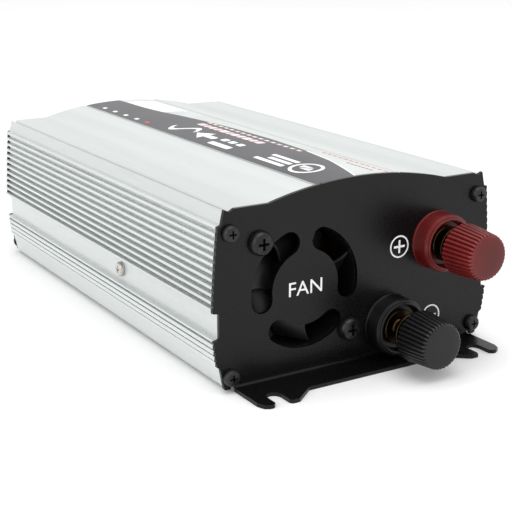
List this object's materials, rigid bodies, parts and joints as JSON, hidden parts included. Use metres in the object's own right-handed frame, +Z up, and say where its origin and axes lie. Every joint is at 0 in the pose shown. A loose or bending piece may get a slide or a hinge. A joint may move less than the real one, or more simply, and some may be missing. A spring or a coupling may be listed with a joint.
{
  "type": "power inverter",
  "caption": "Battery-to-mains inverter: finned aluminium case, slotted steel end plates with screw-down flanges, fan grille, red and black screw terminals, mains socket and switch.",
  "frame": {"origin": "under the middle of the whole, on the plane that the flanges rest on", "axes": "+Z up, +Y along the case from the battery end to the mains end, +X across the case"},
  "size_m": [0.103, 0.2144, 0.0595],
  "materials": {
    "extruded_aluminium": "clear anodised, fine matt blast",
    "label_film": "printed polyester film, satin",
    "plate_steel": "black satin powder coat",
    "black_screw_steel": "black zinc",
    "bright_steel": "nickel plated",
    "fan_plastic": "moulded, satin",
    "red_plastic": "moulded, semi-gloss",
    "black_plastic": "moulded, semi-gloss",
    "brass": "turned",
    "red_insulation": "PVC insulation",
    "black_insulation": "PVC insulation",
    "board_laminate": "solder mask",
    "ferrite": "sintered, matt",
    "capacitor_sleeve": "shrink sleeve",
    "fuse_plastic": "translucent moulded",
    "transistor_resin": "moulded resin",
    "socket_plastic": "moulded",
    "rocker_plastic": "moulded, semi-gloss",
    "green_lens": "tinted lens",
    "red_lens": "tinted lens"
  },
  "bodies": {
    "case": {"lower_tray": "extruded_aluminium", "top_cover": "extruded_aluminium", "top_label": "label_film", "front_end_plate": "plate_steel", "rear_end_plate": "plate_steel", "front_plate_screw_1": "black_screw_steel", "front_plate_screw_2": "black_screw_steel", "front_plate_screw_3": "black_screw_steel", "front_plate_screw_4": "black_screw_steel", "rear_plate_screw_1": "black_screw_steel", "rear_plate_screw_2": "black_screw_steel", "rear_plate_screw_3": "black_screw_steel", "rear_plate_screw_4": "black_screw_steel", "fan_screw_1": "black_screw_steel", "fan_screw_2": "black_screw_steel", "side_screw_left": "bright_steel", "side_screw_right": "bright_steel", "transistor_clamp_left": "bright_steel", "transistor_clamp_right": "bright_steel", "fan_frame": "fan_plastic", "red_terminal_collar": "red_plastic", "red_terminal_bush": "red_plastic", "black_terminal_collar": "black_plastic", "black_terminal_bush": "black_plastic", "switch_housing": "black_plastic", "red_terminal_stud": "brass", "red_terminal_nut": "brass", "black_terminal_stud": "brass", "black_terminal_nut": "brass", "red_battery_lead": "red_insulation", "black_battery_lead": "black_insulation", "circuit_board": "board_laminate", "control_card": "board_laminate", "transformer_1": "ferrite", "transformer_2": "ferrite", "filter_choke": "ferrite", "input_capacitor_1": "capacitor_sleeve", "input_capacitor_2": "capacitor_sleeve", "output_capacitor_1": "capacitor_sleeve", "output_capacitor_2": "capacitor_sleeve", "fuse_1": "fuse_plastic", "fuse_2": "fuse_plastic", "transistor_left_1": "transistor_resin", "transistor_left_2": "transistor_resin", "transistor_left_3": "transistor_resin", "transistor_left_4": "transistor_resin", "transistor_right_1": "transistor_resin", "transistor_right_2": "transistor_resin", "transistor_right_3": "transistor_resin", "transistor_right_4": "transistor_resin", "ac_socket": "socket_plastic", "power_led": "green_lens", "fault_led": "red_lens"},
    "fan": {"fan_rotor": "fan_plastic"},
    "red_clamp": {"red_terminal_clamp_washer": "brass"},
    "red_knob": {"red_terminal_knob": "red_plastic"},
    "black_clamp": {"black_terminal_clamp_washer": "brass"},
    "black_knob": {"black_terminal_knob": "black_plastic"},
    "power_switch": {"switch_rocker": "rocker_plastic"}
  },
  "joints": [
    {"name": "fan_spin", "type": "hinge", "parent": "case", "child": "fan", "pos_m": [-0.0198, -0.075, 0.0279], "axis": [0, 1, 0], "continuous": true},
    {"name": "red_clamp_travel", "type": "slide", "parent": "case", "child": "red_clamp", "axis": [0, 1, 0], "range_m": [-0.00501, 0.00301]},
    {"name": "red_knob_turn", "type": "hinge", "parent": "red_clamp", "child": "red_knob", "pos_m": [0.0292, -0.0935, 0.0355], "axis": [0, 1, 0], "range_deg": [-1800, 1080]},
    {"name": "black_clamp_travel", "type": "slide", "parent": "case", "child": "black_clamp", "axis": [0, 1, 0], "range_m": [-0.00331, 0.00471]},
    {"name": "black_knob_turn", "type": "hinge", "parent": "black_clamp", "child": "black_knob", "pos_m": [0.0117, -0.0952, 0.0111], "axis": [0, 1, 0], "range_deg": [-1188, 1692]},
    {"name": "power_switch_tilt", "type": "hinge", "parent": "case", "child": "power_switch", "pos_m": [-0.026, 0.0885, 0.0371], "axis": [0, 0, 1], "range_deg": [0, 22]}
  ],
  "couplings": [
    {"joint": "red_clamp_travel", "follows": "red_knob_turn", "m_per_rad": 0.00015915},
    {"joint": "black_clamp_travel", "follows": "black_knob_turn", "m_per_rad": 0.00015915}
  ]
}
